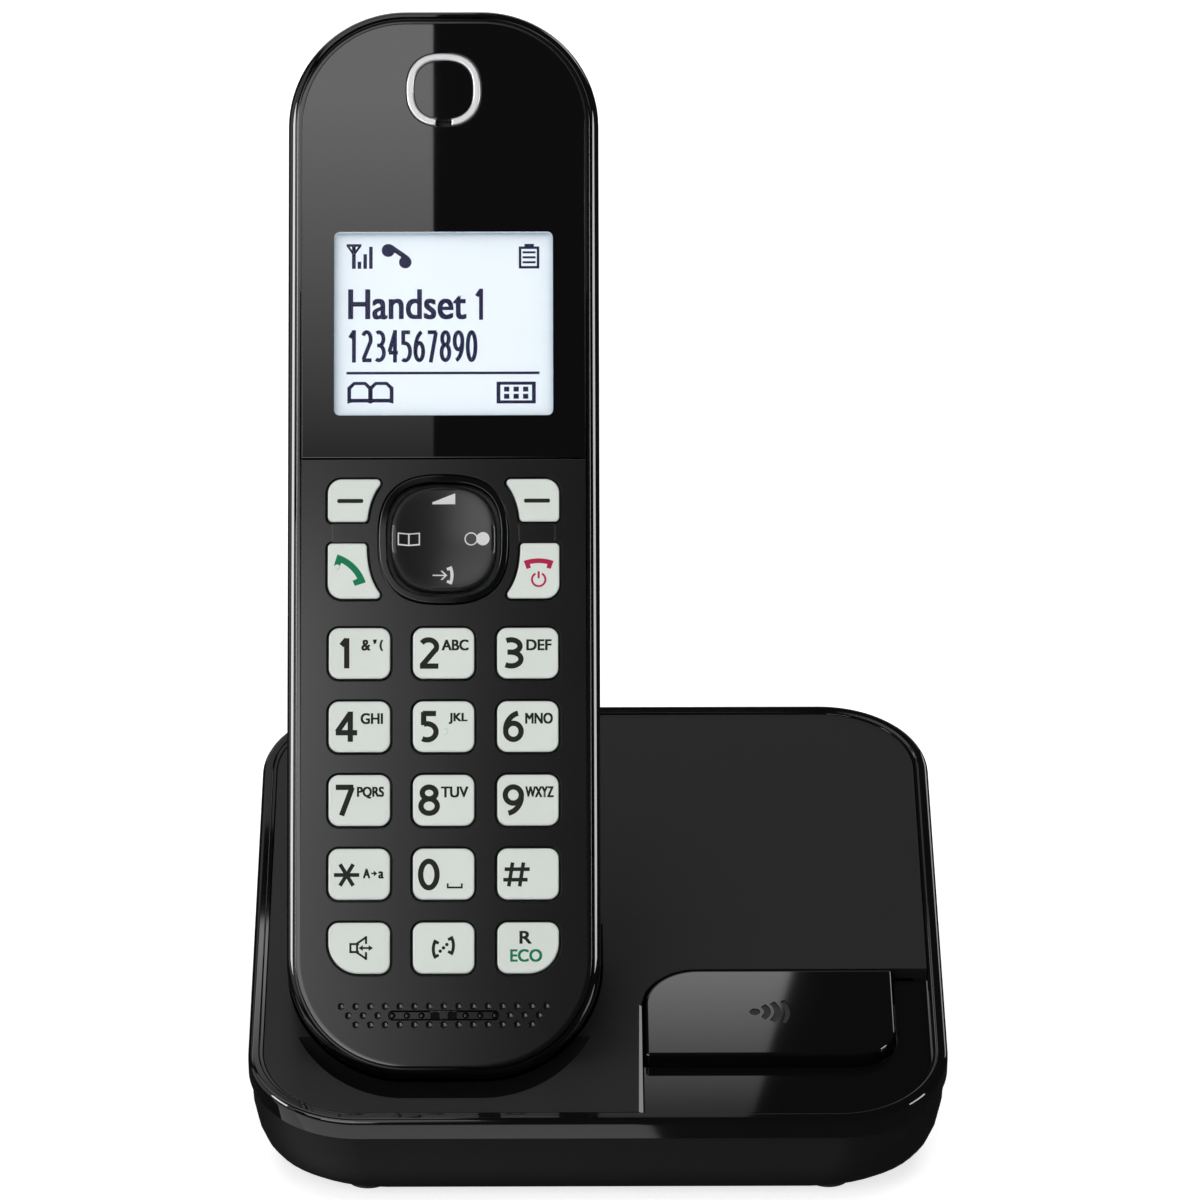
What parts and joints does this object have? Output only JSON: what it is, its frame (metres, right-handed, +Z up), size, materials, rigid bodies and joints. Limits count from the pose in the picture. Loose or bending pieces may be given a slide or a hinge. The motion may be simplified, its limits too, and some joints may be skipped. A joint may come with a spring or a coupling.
{
  "type": "cordless telephone with charging base",
  "caption": "Cordless telephone handset standing in a sloping charging base, with a display, key field, navigation pad, tilt-off battery cover and a sprung locator button on the base.",
  "frame": {"origin": "on the table, under the middle of the whole object's box", "axes": "+Z up, +Y from the front of the base to its rear, +X to the right seen from the front"},
  "size_m": [0.1096, 0.1114, 0.166],
  "materials": {
    "case_black": "satin black moulded plastic",
    "case_gloss": "polished black plastic",
    "lens_black": "clear lens printed black on its back",
    "key_white": "pale grey-green key plastic",
    "pad_dark": "dark grey moulded plastic",
    "ring_silver": "satin plated trim",
    "lcd": "backlit display",
    "lcd_frame": "white light guide",
    "board": "green solder mask",
    "silicone": "grey silicone",
    "part_dark": "dark moulded part",
    "metal": "zinc plated steel",
    "cell": "sleeved cell",
    "contact": "gold plated contact",
    "foot": "black rubber"
  },
  "bodies": {
    "base": {"base_top_case": "case_black", "base_rim": "case_gloss", "base_bottom_case": "case_black", "locator_panel": "case_gloss", "locator_switch": "part_dark", "base_board": "board", "line_jack": "part_dark", "power_jack": "part_dark", "base_feet": "foot", "base_screws": "metal"},
    "handset": {"handset_front_case": "case_black", "handset_rear_case": "case_black", "battery_cells": "cell", "battery_contacts": "contact", "screen_lens": "lens_black", "lcd_panel": "lcd", "lcd_frame": "lcd_frame", "earpiece_ring": "ring_silver", "receiver": "part_dark", "microphone": "metal", "loudspeaker": "part_dark", "keypad_mat": "silicone", "handset_board": "board", "handset_charge_contacts": "contact", "handset_screws": "metal", "nav_ring": "case_gloss"},
    "battery_cover": {"battery_cover": "case_black"},
    "nav_rocker": {"nav_pivot": "silicone"},
    "nav_pad": {"nav_pad": "pad_dark"},
    "locator_button": {"locator_button": "case_gloss"},
    "charge_pin_left": {"charge_pin_left": "contact"},
    "charge_pin_right": {"charge_pin_right": "contact"},
    "key_1": {"key_1": "key_white"},
    "key_2": {"key_2": "key_white"},
    "key_3": {"key_3": "key_white"},
    "key_4": {"key_4": "key_white"},
    "key_5": {"key_5": "key_white"},
    "key_6": {"key_6": "key_white"},
    "key_7": {"key_7": "key_white"},
    "key_8": {"key_8": "key_white"},
    "key_9": {"key_9": "key_white"},
    "key_star": {"key_star": "key_white"},
    "key_0": {"key_0": "key_white"},
    "key_hash": {"key_hash": "key_white"},
    "key_speakerphone": {"key_speakerphone": "key_white"},
    "key_intercom": {"key_intercom": "key_white"},
    "key_recall": {"key_recall": "key_white"},
    "soft_key_left": {"soft_key_left": "key_white"},
    "soft_key_right": {"soft_key_right": "key_white"},
    "key_talk": {"key_talk": "key_white"},
    "key_off": {"key_off": "key_white"}
  },
  "joints": [
    {"name": "handset_lift", "type": "slide", "parent": "base", "child": "handset", "axis": [0, 0.4772, 0.8788], "range_m": [0, 0.08]},
    {"name": "battery_cover_tilt", "type": "hinge", "parent": "handset", "child": "battery_cover", "pos_m": [-0.0241, -0.0048, 0.03481], "axis": [-1, 0, 0], "range_deg": [0, 35]},
    {"name": "nav_up_down", "type": "hinge", "parent": "handset", "child": "nav_rocker", "pos_m": [-0.0241, -0.00144, 0.09056], "axis": [1, 0, 0], "range_deg": [-3, 3], "stiffness_Nm_per_rad": 0.1},
    {"name": "nav_left_right", "type": "hinge", "parent": "nav_rocker", "child": "nav_pad", "pos_m": [-0.0241, -0.00144, 0.09056], "axis": [0, 0.4772, 0.8788], "range_deg": [-3, 3], "stiffness_Nm_per_rad": 0.1},
    {"name": "locator_press", "type": "slide", "parent": "base", "child": "locator_button", "axis": [0, 0.2588, -0.9659], "range_m": [0, 0.001], "stiffness_N_per_m": 400, "springref_m": -0.001},
    {"name": "charge_pin_left_press", "type": "slide", "parent": "base", "child": "charge_pin_left", "axis": [0, -0.4772, -0.8788], "range_m": [0, 0.0008], "stiffness_N_per_m": 200, "springref_m": -0.0005},
    {"name": "charge_pin_right_press", "type": "slide", "parent": "base", "child": "charge_pin_right", "axis": [0, -0.4772, -0.8788], "range_m": [0, 0.0008], "stiffness_N_per_m": 200, "springref_m": -0.0005},
    {"name": "key_1_press", "type": "slide", "parent": "handset", "child": "key_1", "axis": [0, 0.8788, -0.4772], "range_m": [0, 0.0008], "stiffness_N_per_m": 300, "springref_m": -0.0005},
    {"name": "key_2_press", "type": "slide", "parent": "handset", "child": "key_2", "axis": [0, 0.8788, -0.4772], "range_m": [0, 0.0008], "stiffness_N_per_m": 300, "springref_m": -0.0005},
    {"name": "key_3_press", "type": "slide", "parent": "handset", "child": "key_3", "axis": [0, 0.8788, -0.4772], "range_m": [0, 0.0008], "stiffness_N_per_m": 300, "springref_m": -0.0005},
    {"name": "key_4_press", "type": "slide", "parent": "handset", "child": "key_4", "axis": [0, 0.8788, -0.4772], "range_m": [0, 0.0008], "stiffness_N_per_m": 300, "springref_m": -0.0005},
    {"name": "key_5_press", "type": "slide", "parent": "handset", "child": "key_5", "axis": [0, 0.8788, -0.4772], "range_m": [0, 0.0008], "stiffness_N_per_m": 300, "springref_m": -0.0005},
    {"name": "key_6_press", "type": "slide", "parent": "handset", "child": "key_6", "axis": [0, 0.8788, -0.4772], "range_m": [0, 0.0008], "stiffness_N_per_m": 300, "springref_m": -0.0005},
    {"name": "key_7_press", "type": "slide", "parent": "handset", "child": "key_7", "axis": [0, 0.8788, -0.4772], "range_m": [0, 0.0008], "stiffness_N_per_m": 300, "springref_m": -0.0005},
    {"name": "key_8_press", "type": "slide", "parent": "handset", "child": "key_8", "axis": [0, 0.8788, -0.4772], "range_m": [0, 0.0008], "stiffness_N_per_m": 300, "springref_m": -0.0005},
    {"name": "key_9_press", "type": "slide", "parent": "handset", "child": "key_9", "axis": [0, 0.8788, -0.4772], "range_m": [0, 0.0008], "stiffness_N_per_m": 300, "springref_m": -0.0005},
    {"name": "key_star_press", "type": "slide", "parent": "handset", "child": "key_star", "axis": [0, 0.8788, -0.4772], "range_m": [0, 0.0008], "stiffness_N_per_m": 300, "springref_m": -0.0005},
    {"name": "key_0_press", "type": "slide", "parent": "handset", "child": "key_0", "axis": [0, 0.8788, -0.4772], "range_m": [0, 0.0008], "stiffness_N_per_m": 300, "springref_m": -0.0005},
    {"name": "key_hash_press", "type": "slide", "parent": "handset", "child": "key_hash", "axis": [0, 0.8788, -0.4772], "range_m": [0, 0.0008], "stiffness_N_per_m": 300, "springref_m": -0.0005},
    {"name": "key_speakerphone_press", "type": "slide", "parent": "handset", "child": "key_speakerphone", "axis": [0, 0.8788, -0.4772], "range_m": [0, 0.0008], "stiffness_N_per_m": 300, "springref_m": -0.0005},
    {"name": "key_intercom_press", "type": "slide", "parent": "handset", "child": "key_intercom", "axis": [0, 0.8788, -0.4772], "range_m": [0, 0.0008], "stiffness_N_per_m": 300, "springref_m": -0.0005},
    {"name": "key_recall_press", "type": "slide", "parent": "handset", "child": "key_recall", "axis": [0, 0.8788, -0.4772], "range_m": [0, 0.0008], "stiffness_N_per_m": 300, "springref_m": -0.0005},
    {"name": "soft_key_left_press", "type": "slide", "parent": "handset", "child": "soft_key_left", "axis": [0, 0.8788, -0.4772], "range_m": [0, 0.0008], "stiffness_N_per_m": 300, "springref_m": -0.0005},
    {"name": "soft_key_right_press", "type": "slide", "parent": "handset", "child": "soft_key_right", "axis": [0, 0.8788, -0.4772], "range_m": [0, 0.0008], "stiffness_N_per_m": 300, "springref_m": -0.0005},
    {"name": "key_talk_press", "type": "slide", "parent": "handset", "child": "key_talk", "axis": [0, 0.8788, -0.4772], "range_m": [0, 0.0008], "stiffness_N_per_m": 300, "springref_m": -0.0005},
    {"name": "key_off_press", "type": "slide", "parent": "handset", "child": "key_off", "axis": [0, 0.8788, -0.4772], "range_m": [0, 0.0008], "stiffness_N_per_m": 300, "springref_m": -0.0005}
  ]
}
